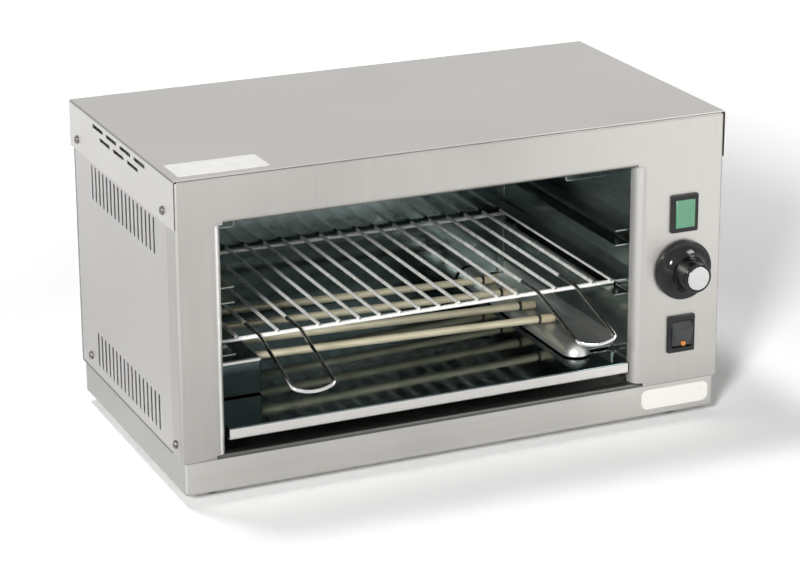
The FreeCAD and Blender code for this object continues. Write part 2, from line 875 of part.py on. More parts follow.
# Cradle: half-round shield with a domed front on a web from the right wall, notched for the rod caps
def rod_cradle():
    near, far = at_place(cradle_front), wall_end_y - bend
    centre = V(cradle_x, near, tray_top)
    inner_radius = cradle_radius - sheet
    outside = fuse([Part.makeSphere(cradle_radius, centre),
                    Part.makeCylinder(cradle_radius, far - near, centre, Y_AXIS)])
    inside = fuse([Part.makeSphere(inner_radius, centre),
                   Part.makeCylinder(inner_radius, far - near + overrun, centre, Y_AXIS)])
    below = box((cradle_x - overrun, cradle_x + overrun), (near - overrun, far + overrun),
                (tray_top - overrun, cover_box_bottom))
    shield = outside.cut([inside, below])
    wall = cavity_x + wall_half
    inner_edge = cradle_x + inner_radius
    line = [(wall, cover_box_bottom + cradle_flange), (wall, cover_box_bottom), (inner_edge, cover_box_bottom)]
    web = front_view(line, near, far)
    way = (lower_right_end - lower_left_end).normalize()
    end = lower_right_end + way * (cap_length + overrun)
    room = along_rods(lower_right_end - way * ferrule_length, lower_right_end, 0, end, cap_dia + rod_hole_gap)
    return fuse([shield, web]).cut(room)


# Rod brackets: angles under the ceiling at both walls that carry the upper rods
def rod_bracket():
    low = ceiling_z - rod_bracket_height
    line = [(bracket_x, ceiling_z), (bracket_x, low), (wall_x, low)]
    angle = front_view(line, at_place(rod_bracket_front), wall_end_y - bend)
    holes = along_rods(upper_left_end, upper_right_end, cap_length, upper_right_end, rod_dia + rod_hole_gap)
    return angle.cut(holes)


# Indicator lamp: snap-in housing with a rim and a clear window block in front
def control_block(level, width, height, near, far):
    """Box centred on the control column at a level."""
    z = at_level(level)
    return box((control_x - width / 2, control_x + width / 2), (near, far), (z - height / 2, z + height / 2))


def snap_in_housing(level, depth):
    """Housing with a rim in front of the panel, a body through the cut-out and two rear tabs."""
    face = front_y - bezel_proud
    rim = control_block(level, bezel_width, bezel_height, face, front_y)
    rim = rounded_edges(rim, bezel_round, lambda middle: middle.y < front_y - bezel_round)
    body = control_block(level, cutout_width - 2 * cutout_gap, cutout_height - 2 * cutout_gap,
                         front_y, front_y + depth)
    rear = front_y + depth
    tabs = []
    for side in (-1, 1):
        x = control_x + side * tab_spacing / 2
        z = at_level(level)
        tabs.append(box((x - tab_thickness / 2, x + tab_thickness / 2), (rear, rear + tab_length),
                        (z - tab_width / 2, z + tab_width / 2)))
    return fuse([rim, body] + tabs)


def lamp_housing():
    face = front_y - bezel_proud
    pocket = control_block(lamp_level, lens_width, lens_height, face - overrun, face + lens_depth)
    return snap_in_housing(lamp_level, lamp_body_depth).cut(pocket)


def lamp_lens():
    face = front_y - bezel_proud
    lens = control_block(lamp_level, lens_width - 2 * lens_gap, lens_height - 2 * lens_gap,
                         face - lens_proud, face + lens_depth)
    return rounded_edges(lens, lens_round, lambda middle: middle.y < face)


# Rocker switch: housing with a well, and a rocker that swings on two pins
rocker_pivot = V(control_x, at_place(rocker_pivot_place), at_level(switch_level))


def switch_housing():
    face = front_y - bezel_proud
    well = control_block(switch_level, rocker_width + 2 * rocker_gap, 2 * (rocker_radius + rocker_gap),
                         face - overrun, face + bezel_proud + rocker_well_depth)
    reach = rocker_width / 2 + rocker_gap + rocker_pin_reach
    pin_bore = bar(rocker_pivot - X_AXIS * reach, rocker_pivot + X_AXIS * reach,
                   rocker_pin_dia + 2 * rocker_pin_gap)
    return snap_in_housing(switch_level, switch_body_depth).cut([well, pin_bore])


def rocker_profile():
    """Front line of the rocker at rest, with its upper end pressed in, as depth and height from the pivot."""
    face = -bezel_proud - rocker_pivot_place
    top = face + rocker_top_set
    foot = face - rocker_foot_proud
    return [(top, math.sqrt(rocker_radius ** 2 - top ** 2)),
            (face - rocker_crest_proud, rocker_crest_rise),
            (foot, -math.sqrt(rocker_radius ** 2 - foot ** 2)),
            (rocker_back_depth, -rocker_back_half),
            (rocker_back_depth, rocker_back_half)]


def switch_rocker():
    left = rocker_pivot - X_AXIS * (rocker_width / 2)
    points = [left + V(0, y, z) for y, z in rocker_profile()]
    body = Part.Face(Part.makePolygon(points + points[:1])).extrude(X_AXIS * rocker_width)
    reach = rocker_width / 2 + rocker_pin_reach
    pins = bar(rocker_pivot - X_AXIS * reach, rocker_pivot + X_AXIS * reach, rocker_pin_dia)
    start, way = window_axis()
    pocket = Part.makeCylinder(window_dia / 2 + window_gap, window_depth, start, way)
    return fuse([body, pins]).cut(pocket)


def window_axis():
    """Centre of the window on the lower face of the rocker and the way into it."""
    crest, foot = [V(0, y, z) for y, z in rocker_profile()[1:3]]
    face_way = (foot - crest).normalize()
    start = rocker_pivot + crest + face_way * (crest.z + window_drop)
    return start, X_AXIS.cross(face_way) * -1


def switch_window():
    start, way = window_axis()
    return Part.makeCylinder(window_dia / 2, window_depth, start, way)


# Timer: clockwork body behind the panel, its bushing through it and a shaft that carries the knob
knob_axis = V(control_x, front_y, at_level(knob_level))


def timer_screw_places():
    return [knob_axis + Z_AXIS * (side * timer_screw_spacing / 2) for side in (-1, 1)]


def timer_body():
    body = control_block(knob_level, timer_width, timer_height, panel_back_y, panel_back_y + timer_depth)
    rear = panel_back_y + timer_depth
    body = rounded_edges(body, timer_round, lambda m: panel_back_y < m.y < rear)
    bushing = Part.makeCylinder(bushing_dia / 2, bushing_length, knob_axis + Y_AXIS * bushing_length, -Y_AXIS)
    tabs = []
    for side in (-1, 1):
        x = control_x + side * tab_spacing
        tabs.append(box((x - tab_thickness / 2, x + tab_thickness / 2), (rear, rear + tab_length),
                        (knob_axis.z - tab_width / 2, knob_axis.z + tab_width / 2)))
    holes = [Part.makeCylinder(shaft_dia / 2 + shaft_gap, shaft_depth + slip_gap + overrun,
                               knob_axis - Y_AXIS * overrun, Y_AXIS)]
    holes += [Part.makeCylinder(timer_screw_dia / 2, timer_screw_length, place, Y_AXIS)
              for place in timer_screw_places()]
    return fuse([body, bushing] + tabs).cut(holes)


def timer_screws():
    shapes = []
    for place in timer_screw_places():
        head = Part.makeCylinder(timer_screw_head_dia / 2, timer_screw_head, place, -Y_AXIS)
        shank = Part.makeCylinder(timer_screw_dia / 2, timer_screw_length, place, Y_AXIS)
        shapes.append(fuse([head, shank]))
    return shapes


def timer_shaft():
    return bar(knob_axis + Y_AXIS * shaft_depth, knob_axis - Y_AXIS * shaft_reach, shaft_dia)


def knob_disc(diameter, low, high):
    """Disc on the knob's axis between two distances in front of the panel."""
    return Part.makeCylinder(diameter / 2, high - low, knob_axis - Y_AXIS * low, -Y_AXIS)


def timer_knob():
    """Flared skirt, concave neck and round grip, turned on the knob's axis."""
    skirt, neck, grip = knob_skirt_dia / 2, knob_neck_dia / 2, knob_grip_dia / 2
    base, top = knob_stand_off, knob_stand_off + knob_height
    rim, waist = base + knob_edge, base + knob_neck_height
    flare = V(knob_flare_dia / 2, -base - knob_flare_height, 0)
    points = [V(0, -base, 0), V(skirt, -base, 0), V(skirt, -rim, 0),
              V(neck, -waist, 0), V(grip, -top, 0), V(0, -top, 0)]
    edges = [Part.LineSegment(points[0], points[1]), Part.LineSegment(points[1], points[2]),
             Part.Arc(points[2], flare, points[3]), Part.LineSegment(points[3], points[4]),
             Part.LineSegment(points[4], points[5]), Part.LineSegment(points[5], points[0])]
    outline = Part.Wire([edge.toShape() for edge in edges])
    body = Part.Face(outline).revolve(V(), Y_AXIS, full_turn)
    body.translate(knob_axis)
    rims = [edge for edge in body.Edges if abs(edge.BoundBox.XLength - knob_grip_dia) < knob_cap_gap]
    body = body.makeFillet(knob_front_round, rims)
    pocket = knob_disc(knob_cap_dia + 2 * knob_cap_gap, top - knob_cap_depth, top + overrun)
    recess = knob_disc(knob_recess_dia, 0, base + knob_recess_depth)
    recess = recess.cut(knob_disc(knob_boss_dia, 0, base + knob_recess_depth))
    return body.cut([pocket, recess, knob_disc(shaft_dia, 0, shaft_reach)])


def knob_cap():
    top = knob_stand_off + knob_height
    return knob_disc(knob_cap_dia, top - knob_cap_depth, top + knob_cap_proud)


# Feet: tapered rubber discs, each held by a screw and nut through the floor of the base
def foot_places():
    reach = base_half - foot_inset
    rows = (base_front_y + foot_inset, base_back_y - foot_inset)
    return [V(x, y, base_z) for x in (-reach, reach) for y in rows]


def feet():
    shapes = []
    for place in foot_places():
        foot = Part.makeCone(foot_dia / 2, foot_dia / 2 - foot_taper, foot_height, place, -Z_AXIS)
        ground = place - Z_AXIS * foot_height
        recess = Part.makeCylinder(foot_recess_dia / 2, foot_recess_depth, ground, Z_AXIS)
        shapes.append(foot.cut([recess, bore(place, foot_screw_dia + slip_gap, Z_AXIS)]))
    return shapes


def foot_screws():
    shapes = []
    for place in foot_places():
        seat = place - Z_AXIS * (foot_height - foot_recess_depth)
        head = Part.makeCylinder(foot_screw_head_dia / 2, foot_screw_head, seat, -Z_AXIS)
        nut_base = V(place.x, place.y, floor_top)
        nut = hexagon(nut_base, foot_nut_flats, foot_nut_height, Z_AXIS)
        shank = bar(seat, nut_base + Z_AXIS * (foot_nut_height + foot_thread_end), foot_screw_dia)
        shapes.append(fuse([head, shank, nut]))
    return shapes


# Supply side: terminal block on the floor, cable gland in the back panel and an earth stud
def block_ways_x():
    return [control_x + (step - (block_ways - 1) / 2) * block_pitch for step in range(block_ways)]


def terminal_block():
    y = at_place(block_place)
    block = box((control_x - block_length / 2, control_x + block_length / 2),
                (y - block_width / 2, y + block_width / 2), (floor_top, floor_top + block_height))
    holes = []
    for x in block_ways_x():
        holes.append(bore(V(x, y, floor_top + block_bore_level), block_bore_dia, Y_AXIS))
        top = V(x, y, floor_top + block_height)
        holes.append(Part.makeCylinder(block_screw_dia / 2, block_height - block_bore_level, top, -Z_AXIS))
    return block.cut(holes)


def cable_gland():
    place = V(gland_x, back_y, at_level(gland_level))
    hexagonal = hexagon(place, gland_flats, gland_hex_height, Y_AXIS)
    dome = Part.makeCylinder(gland_dome_dia / 2, gland_dome_height, place + Y_AXIS * gland_hex_height, Y_AXIS)
    thread = Part.makeCylinder(gland_thread_dia / 2, gland_thread_length, place, -Y_AXIS)
    end_y = back_y + gland_hex_height + gland_dome_height
    dome = rounded_edges(dome, bend, lambda middle: abs(middle.y - end_y) < slip_gap)
    return fuse([hexagonal, dome, thread]).cut(bore(place, gland_bore_dia, Y_AXIS))


def gland_nut():
    place = V(gland_x, back_panel_y, at_level(gland_level))
    nut = hexagon(place, gland_flats, gland_nut_height, -Y_AXIS)
    return nut.cut(bore(place, gland_thread_dia, Y_AXIS))


def earth_stud():
    """Stud through the floor, with a washer and a nut above and a head below."""
    foot = V(earth_x, at_place(earth_place), floor_top)
    under = foot - Z_AXIS * sheet
    washer = Part.makeCylinder(earth_washer_dia / 2, earth_washer_thickness, foot, Z_AXIS)
    nut = hexagon(foot + Z_AXIS * earth_washer_thickness, earth_flats, earth_nut, Z_AXIS)
    head = Part.makeCylinder(earth_washer_dia / 2, earth_washer_thickness, under, -Z_AXIS)
    return fuse([washer, nut, head, bar(under, foot + Z_AXIS * earth_length, earth_dia)])


# Inner wires: held all the way inside the casing, from terminal to terminal
def lead(points, bend_radius=lead_bend):
    return bent_wire(points, [bend_radius] * (len(points) - 2), lead_dia)


def wiring_loom():
    left_tab, right_tab = control_x - tab_spacing / 2, control_x + tab_spacing / 2
    lamp_end = front_y + lamp_body_depth + tab_length + slip_gap
    switch_end = front_y + switch_body_depth + tab_length + slip_gap
    timer_end = panel_back_y + timer_depth + tab_length + slip_gap
    lamp_z, knob_z, switch_z = at_level(lamp_level), at_level(knob_level), at_level(switch_level)
    block_y = at_place(block_place) - block_width / 2 + lead_dia
    block_z = floor_top + block_bore_level
    lanes = [at_place(lead_front_place) + step * lead_spacing for step in range(block_ways)]
    first, second, third = block_ways_x()
    wires = []
    for x, tab_x, tab_end, tab_z, lane in ((first, left_tab, switch_end, switch_z, lanes[1]),
                                           (second, left_tab, lamp_end, lamp_z, lanes[2])):
        wires.append(lead([V(x, block_y, block_z), V(x, lane, block_z),
                           V(tab_x, lane, tab_z), V(tab_x, tab_end, tab_z)]))
    stud = V(earth_x, at_place(earth_place), 0)
    stud_y = stud.y + earth_washer_dia / 2 + lead_dia
    wires.append(lead([V(third, block_y, block_z), V(third, block_y - lead_earth_step, block_z),
                       V(stud.x, stud_y + lead_earth_step / 2, block_z),
                       V(stud.x, stud.y + earth_dia / 2 + slip_gap, block_z)], lead_earth_bend))
    timer_right, timer_left = control_x + tab_spacing, control_x - tab_spacing
    wires.append(lead([V(right_tab, switch_end, switch_z), V(right_tab, lanes[0], switch_z),
                       V(timer_right, lanes[0], knob_z), V(timer_right, timer_end, knob_z)]))
    wires.append(lead([V(timer_left, timer_end, knob_z), V(timer_left, lanes[0], knob_z),
                       V(right_tab, lanes[0], lamp_z), V(right_tab, lamp_end, lamp_z)]))
    over = ceiling_z + lead_over_ceiling
    link_x = lower_left_end.x - cap_length - pin_length - link_thickness - lead_dia
    low_z = at_level(lower_rod_left_level)
    lane = at_place(lead_entry_place)
    wires.append(lead([V(link_x, lane, low_z), V(left_bay_x, lane, low_z), V(left_bay_x, lane, over),
                       V(control_x, lane, over), V(control_x, lane, lamp_z + lead_over_ceiling)]))
    upper_x = upper_left_end.x - cap_length - pin_length - link_thickness - lead_dia
    rear = at_place(rod_link_place)
    wires.append(lead([V(upper_x, rear, upper_rod_z), V(left_bay_x, rear, upper_rod_z),
                       V(left_bay_x, rear, low_z), V(link_x, rear, low_z)]))
    return wires


# All pieces, written one file to a node
os.makedirs("parts", exist_ok=True)
lower, upper = (lower_left_end, lower_right_end), (upper_left_end, upper_right_end)
left_panel, left_wall, left_bracket = side_panel(), inner_wall(), rod_bracket()
low_guide, high_guide = guide(lower_guide_z), guide(upper_guide_z)
nodes = {
    "base_pan": base_pan(),
    "front_panel": front_panel(),
    "left_side_panel": left_panel,
    "right_side_panel": mirrored(left_panel),
    "top_cover": top_cover(),
    "back_panel": back_panel(),
    "left_inner_wall": left_wall,
    "right_inner_wall": across_cavity(left_wall),
    "cavity_back": cavity_back(),
    "ceiling_reflector": ceiling_reflector(),
    "lower_left_guide": low_guide,
    "lower_right_guide": across_cavity(low_guide),
    "upper_left_guide": high_guide,
    "upper_right_guide": across_cavity(high_guide),
    "guide_rivets": guide_rivets(),
    "rack_grid": rack_grid(),
    "rack_left_handle": rack_handle(-1),
    "rack_right_handle": rack_handle(1),
    "crumb_tray": crumb_tray(),
    "lower_heating_rods": rods(*lower),
    "lower_rod_caps": pierced_caps(*lower),
    "lower_rod_ferrules": rod_ferrules(*lower),
    "lower_rod_pins": rod_pins(*lower),
    "lower_rod_links": rod_links(*lower),
    "upper_heating_rods": rods(*upper),
    "upper_rod_caps": pierced_caps(*upper),
    "upper_rod_pins": rod_pins(*upper),
    "upper_rod_links": rod_links(*upper),
    "lower_terminal_cover": terminal_cover(),
    "lower_rod_cradle": rod_cradle(),
    "upper_left_bracket": left_bracket,
    "upper_right_bracket": across_cavity(left_bracket),
    "lamp_housing": lamp_housing(),
    "lamp_lens": lamp_lens(),
    "switch_housing": switch_housing(),
    "switch_rocker": switch_rocker(),
    "switch_window": switch_window(),
    "timer_body": timer_body(),
    "timer_screws": timer_screws(),
    "timer_shaft": timer_shaft(),
    "timer_knob": timer_knob(),
    "knob_cap": knob_cap(),
    "feet": feet(),
    "foot_screws": foot_screws(),
    "cover_screws": screws(cover_screw_places()),
    "side_screws": screws(side_screw_places()),
    "back_screws": screws(back_screw_places()),
    "terminal_block": terminal_block(),
    "cable_gland": cable_gland(),
    "gland_nut": gland_nut(),
    "earth_stud": earth_stud(),
    "wiring_loom": wiring_loom(),
}
for name, shapes in nodes.items():
    save(name, shapes)
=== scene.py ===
import math

import bpy
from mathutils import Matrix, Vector


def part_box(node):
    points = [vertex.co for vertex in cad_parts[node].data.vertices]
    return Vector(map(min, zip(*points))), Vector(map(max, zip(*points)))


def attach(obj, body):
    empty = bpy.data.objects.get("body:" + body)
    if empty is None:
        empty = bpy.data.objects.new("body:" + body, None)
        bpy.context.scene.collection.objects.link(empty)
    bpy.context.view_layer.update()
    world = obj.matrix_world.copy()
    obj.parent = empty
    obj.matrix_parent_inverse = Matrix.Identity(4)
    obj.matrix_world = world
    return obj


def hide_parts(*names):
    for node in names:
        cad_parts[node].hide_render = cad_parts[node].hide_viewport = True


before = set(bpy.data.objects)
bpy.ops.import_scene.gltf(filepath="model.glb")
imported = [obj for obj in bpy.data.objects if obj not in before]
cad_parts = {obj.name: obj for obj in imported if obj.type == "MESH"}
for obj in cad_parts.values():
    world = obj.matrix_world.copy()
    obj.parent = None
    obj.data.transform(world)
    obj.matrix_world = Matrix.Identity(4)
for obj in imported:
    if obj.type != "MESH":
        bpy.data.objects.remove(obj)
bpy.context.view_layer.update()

# Casing sheets
# Stainless steel, brushed in straight lines before folding, then left bare.
# The front is one sheet with a folded-in mouth; the sides and back are screwed inside its returns.
casing_steel = (0.465, 0.45, 0.43)
casing_front_steel = (0.407, 0.396, 0.374)
casing_side_steel = (0.46, 0.45, 0.44)
# Painted shadow tone for the lines under the side panels and under the front panel.
seam_shadow_tone = (0.10, 0.10, 0.095)
seam_shadow_width = 0.0018
grain_fine = 1400.0
grain_long = 5.0
grain_depth = 0.00002
smooth_angle = math.radians(35.0)


def new_finish(name, metal=0.0):
    """Empty material, with its node tree and its shader."""
    finish = bpy.data.materials.new(name)
    finish.use_nodes = True
    tree = finish.node_tree
    shader = tree.nodes["Principled BSDF"]
    shader.inputs["Metallic"].default_value = metal
    return finish, tree, shader


def node(tree, kind, **inputs):
    """New shader node with its plain settings and its unlinked inputs filled in."""
    made = tree.nodes.new(kind)
    for key, value in inputs.items():
        if hasattr(made, key):
            setattr(made, key, value)
        else:
            made.inputs[key.replace("_", " ")].default_value = value
    return made


def object_noise(tree, scale, detail=3.0, roughness=0.5):
    """Noise on the piece's own coordinates, stretched by a scale for each axis."""
    place = node(tree, "ShaderNodeTexCoord")
    stretch = node(tree, "ShaderNodeMapping", Scale=scale)
    noise = node(tree, "ShaderNodeTexNoise", Scale=1.0, Detail=detail, Roughness=roughness)
    tree.links.new(place.outputs["Object"], stretch.inputs["Vector"])
    tree.links.new(stretch.outputs["Vector"], noise.inputs["Vector"])
    return noise.outputs["Fac"]


def ramp(tree, value, low, high, start=0.3, end=0.7):
    """Spread of a noise between two numbers."""
    spread = node(tree, "ShaderNodeMapRange", From_Min=start, From_Max=end, To_Min=low, To_Max=high)
    tree.links.new(value, spread.inputs["Value"])
    return spread.outputs["Result"]


def shade(tree, value, dark, light):
    """Colour between two tones."""
    tones = node(tree, "ShaderNodeMix", data_type="RGBA")
    tones.inputs[6].default_value = (*dark, 1.0)
    tones.inputs[7].default_value = (*light, 1.0)
    tree.links.new(value, tones.inputs[0])
    return tones.outputs[2]


def tinted(tree, shader, noise, dark, light):
    """Base colour that runs between two tones with a noise."""
    tones = shade(tree, ramp(tree, noise, 0.0, 1.0), dark, light)
    tree.links.new(tones, shader.inputs["Base Color"])


def dulled(tree, shader, noise, low, high):
    """Roughness that runs between two numbers with a noise."""
    tree.links.new(ramp(tree, noise, low, high), shader.inputs["Roughness"])


def bumped(tree, shader, height, distance, strength=1.0):
    """Fine relief on the shader's normal."""
    relief = node(tree, "ShaderNodeBump", Strength=strength, Distance=distance)
    tree.links.new(height, relief.inputs["Height"])
    tree.links.new(relief.outputs["Normal"], shader.inputs["Normal"])


def brushed_steel(name, colour, grain, rough=(0.30, 0.44)):
    """Bare stainless sheet with straight brush lines, faint cloudiness and wiped smears."""
    finish, tree, shader = new_finish(name, 1.0)
    lines = object_noise(tree, [grain_long if axis == grain else grain_fine for axis in "XYZ"], 2.0)
    clouds = object_noise(tree, (9.0, 9.0, 9.0), 2.0)
    surface = node(tree, "ShaderNodeMath", operation="MULTIPLY_ADD")
    surface.inputs[1].default_value = 0.55
    tree.links.new(lines, surface.inputs[0])
    tree.links.new(ramp(tree, clouds, 0.10, 0.35), surface.inputs[2])
    tinted(tree, shader, surface.outputs[0], [c * 0.93 for c in colour], [c * 1.05 for c in colour])
    dulled(tree, shader, surface.outputs[0], *rough)
    bumped(tree, shader, lines, grain_depth)
    return finish


def place_parts(tree):
    """X, Y and Z of the piece's own coordinates."""
    place = node(tree, "ShaderNodeTexCoord")
    parts = node(tree, "ShaderNodeSeparateXYZ")
    tree.links.new(place.outputs["Object"], parts.inputs["Vector"])
    return parts.outputs


def below(tree, value, limit, blur=0.0002):
    """One under a limit and zero over it."""
    return ramp(tree, value, 1.0, 0.0, limit - blur, limit + blur)


def above(tree, value, limit, blur=0.0002):
    """One over a limit and zero under it."""
    return ramp(tree, value, 0.0, 1.0, limit - blur, limit + blur)


def both(tree, one, other):
    """Product of two masks."""
    product = node(tree, "ShaderNodeMath", operation="MULTIPLY")
    tree.links.new(one, product.inputs[0])
    tree.links.new(other, product.inputs[1])
    return product.outputs[0]


def outer_side(tree, parts, half_width):
    """One on the two outer side faces of a piece that is centred on X."""
    skin = 0.0004
    reach = node(tree, "ShaderNodeMath", operation="ABSOLUTE")
    tree.links.new(parts["X"], reach.inputs[0])
    return above(tree, reach.outputs[0], half_width - skin)


def masked(tree, mask, **changes):
    """Lets other values, or what other nodes give, show on the shader where a mask is one."""
    shader = tree.nodes["Principled BSDF"]
    for key, value in changes.items():
        socket = shader.inputs[key.replace("_", " ")]
        coloured = socket.type == "RGBA"
        mix = node(tree, "ShaderNodeMix", data_type="RGBA" if coloured else "FLOAT")
        plain, changed = mix.inputs[6:8] if coloured else mix.inputs[2:4]
        tree.links.new(mask, mix.inputs[0])
        if socket.links:
            tree.links.new(socket.links[0].from_socket, plain)
        else:
            plain.default_value = socket.default_value
        if isinstance(value, bpy.types.NodeSocket):
            tree.links.new(value, changed)
        else:
            changed.default_value = (*value, 1.0) if coloured else value
        tree.links.new(mix.outputs[2] if coloured else mix.outputs[0], socket)


def give(finish, *names):
    """Puts a finish on CAD nodes."""
    for name in names:
        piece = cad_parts[name]
        piece.data.materials.clear()
        piece.data.materials.append(finish)


def smoothed(name, finish, body="cabinet", angle=smooth_angle):
    """Copy of a CAD node with its doubles merged, its curves smooth and its flats kept flat."""
    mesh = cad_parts[name].data.copy()
    piece = bpy.data.objects.new(name + ".smooth", mesh)
    bpy.context.scene.collection.objects.link(piece)
    bpy.ops.object.select_all(action="DESELECT")
    bpy.context.view_layer.objects.active = piece
    piece.select_set(True)
    bpy.ops.object.mode_set(mode="EDIT")
    bpy.ops.mesh.select_all(action="SELECT")
    bpy.ops.mesh.remove_doubles(threshold=0.000002)
    bpy.ops.object.mode_set(mode="OBJECT")
    bpy.ops.object.shade_smooth_by_angle(angle=angle)
    bpy.ops.object.modifier_add(type="WEIGHTED_NORMAL")
    piece.modifiers[-1].keep_sharp = True
    bpy.ops.object.modifier_apply(modifier=piece.modifiers[-1].name)
    mesh.materials.clear()
    mesh.materials.append(finish)
    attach(piece, body)
    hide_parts(name)


# The mouth's jambs are rolled inwards; the left roll is painted bright as painted highlight, the right one a
# lighter satin tone as painted sheen.
jamb_roll = 0.0085
left_roll_reach, left_roll_blur = 0.62, 0.0008
right_roll_reach, right_roll_blur = 0.55, 0.0042
mouth_inset = 0.002
rail_overlap = 0.003
mouth_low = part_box("left_inner_wall")[0].x + mouth_inset
mouth_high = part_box("right_inner_wall")[1].x - mouth_inset
rail_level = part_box("left_inner_wall")[1].z - rail_overlap
front_finish = brushed_steel("casing_front", casing_front_steel, "Z")
tree = front_finish.node_tree
parts = place_parts(tree)
under_rail = below(tree, parts["Z"], rail_level)
left_roll_highlight = both(tree, above(tree, parts["X"], mouth_low - jamb_roll * left_roll_reach, left_roll_blur),
                 below(tree, parts["X"], mouth_low + jamb_roll))
right_roll_sheen = both(tree, above(tree, parts["X"], mouth_high - jamb_roll),
                  below(tree, parts["X"], mouth_high + jamb_roll * right_roll_reach, right_roll_blur))
# Painted highlight: the left roll gets a near-white colour; painted sheen: the right roll a lighter, less
# metallic tone.
masked(tree, both(tree, left_roll_highlight, under_rail), Base_Color=(0.92, 0.91, 0.89))
masked(tree, both(tree, right_roll_sheen, under_rail), Base_Color=(0.46, 0.45, 0.43), Metallic=0.4)
smoothed("front_panel", front_finish)

# The cover's skirts are folded down from its sheet and painted lighter as painted light; the left fold is a
# dark line of painted shade.
skirt_painted_light = (0.54, 0.53, 0.515)
fold_painted_shade = (0.2, 0.2, 0.19)
fold_shade_width = 0.0011
cover_low, cover_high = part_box("top_cover")
cover_finish = brushed_steel("casing_cover", casing_steel, "X")
tree = cover_finish.node_tree
parts = place_parts(tree)
cover_fold_shade = both(tree, below(tree, parts["X"], cover_low.x + fold_shade_width),
                  above(tree, parts["Z"], cover_high.z - fold_shade_width))
# Painted light on the skirts, a lighter steel tone; painted shade along the left fold, a dark line.
masked(tree, outer_side(tree, parts, cover_high.x), Base_Color=skirt_painted_light)
masked(tree, cover_fold_shade, Base_Color=fold_painted_shade)
smoothed("top_cover", cover_finish)

# The side panels end in a painted shadow line over the base.
side_finish = brushed_steel("casing_sides", casing_side_steel, "Y")
tree = side_finish.node_tree
side_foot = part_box("left_side_panel")[0].z
# Painted shadow: a dark band along the panels' lower edge, where they overhang the base.
masked(tree, below(tree, place_parts(tree)["Z"], side_foot + seam_shadow_width), Base_Color=seam_shadow_tone)
give(side_finish, "left_side_panel", "right_side_panel")
give(brushed_steel("casing_back", casing_steel, "X"), "back_panel")

# Base pan
# The same stainless sheet, satin, folded up on four sides; its front strip shows under the mouth.
# Its sides are painted a darker tone as painted shade, and a painted shadow line parts it from the front
# panel.
base_steel = (0.51, 0.50, 0.475)
base_side_painted_shade = (0.39, 0.39, 0.375)
base_seam_shadow_width = 0.0009
base_finish = brushed_steel("base_strip", base_steel, "X", (0.36, 0.5))
tree = base_finish.node_tree
parts = place_parts(tree)
front_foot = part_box("front_panel")[0].z
# Painted shade: the outer side faces get a darker steel tone.
masked(tree, outer_side(tree, parts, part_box("base_pan")[1].x), Base_Color=base_side_painted_shade)
# Painted shadow: a dark line along the top of the strip, under the front panel's lower edge.
masked(tree, above(tree, parts["Z"], front_foot - base_seam_shadow_width), Base_Color=seam_shadow_tone)
smoothed("base_pan", base_finish)

# Cavity lining and guides
# Polished stainless: inner walls, back liner and ceiling throw the rods' heat back on to the food.
# The guides are folded from the same sheet and riveted on.
lining_steel = (0.21, 0.25, 0.24)
back_steel = (0.17, 0.215, 0.21)
guide_steel = (0.22, 0.25, 0.24)


def polished_steel(name, colour, rough, metal=1.0):
    """Mirror-like stainless with faint heat stains and wipe marks."""
    finish, tree, shader = new_finish(name, metal)
    stains = object_noise(tree, (14.0, 14.0, 22.0), 4.0, 0.6)
    wipes = object_noise(tree, (90.0, 90.0, 260.0), 3.0)
    tinted(tree, shader, stains, [c * 0.8 for c in colour], [c * 1.12 for c in colour])
    dulled(tree, shader, wipes, *rough)
    bumped(tree, shader, stains, 0.0004, 0.35)
    return finish


give(polished_steel("lining_polish", lining_steel, (0.12, 0.24), 0.85),
     "left_inner_wall", "right_inner_wall", "ceiling_reflector", "upper_left_bracket", "upper_right_bracket")
give(polished_steel("back_polish", back_steel, (0.10, 0.2)), "cavity_back")
give(polished_steel("guide_polish", guide_steel, (0.14, 0.26)),
     "lower_left_guide", "lower_right_guide", "upper_left_guide", "upper_right_guide")

# Rod holders
# Satin steel cradle under the right ends of the lower rods; the folded brackets of the upper rods
# are closed in front by end tabs painted near-black as painted shade.
smoothed("lower_rod_cradle", polished_steel("cradle_satin", (0.50, 0.51, 0.49), (0.28, 0.40), 0.85))


def start_box(name, low, high):
    """Box between two corners, ready for editing, with its place in its mesh."""
    bpy.ops.object.select_all(action="DESELECT")
    bpy.ops.mesh.primitive_cube_add(size=1.0, location=(low + high) / 2)
    piece = bpy.context.active_object
    piece.name = name
    piece.scale = high - low
    bpy.ops.object.transform_apply(location=True, rotation=False, scale=True)
    return piece


def bevel_edges(piece, width, segments, keep):
    """Rounds the edges of the active piece whose direction and middle pass a test."""
    bpy.ops.object.mode_set(mode="EDIT")
    bpy.ops.mesh.select_mode(type="EDGE")
    bpy.ops.mesh.select_all(action="DESELECT")
    bpy.ops.object.mode_set(mode="OBJECT")
    for edge in piece.data.edges:
        ends = [piece.data.vertices[index].co for index in edge.vertices]
        edge.select = keep((ends[1] - ends[0]).normalized(), (ends[0] + ends[1]) / 2)
    bpy.ops.object.mode_set(mode="EDIT")
    bpy.ops.mesh.bevel(offset=width, segments=segments, profile=0.5)
    bpy.ops.object.mode_set(mode="OBJECT")


bracket_sheet = 0.001
tab_gap = 0.0001
tab_bend = 0.0022
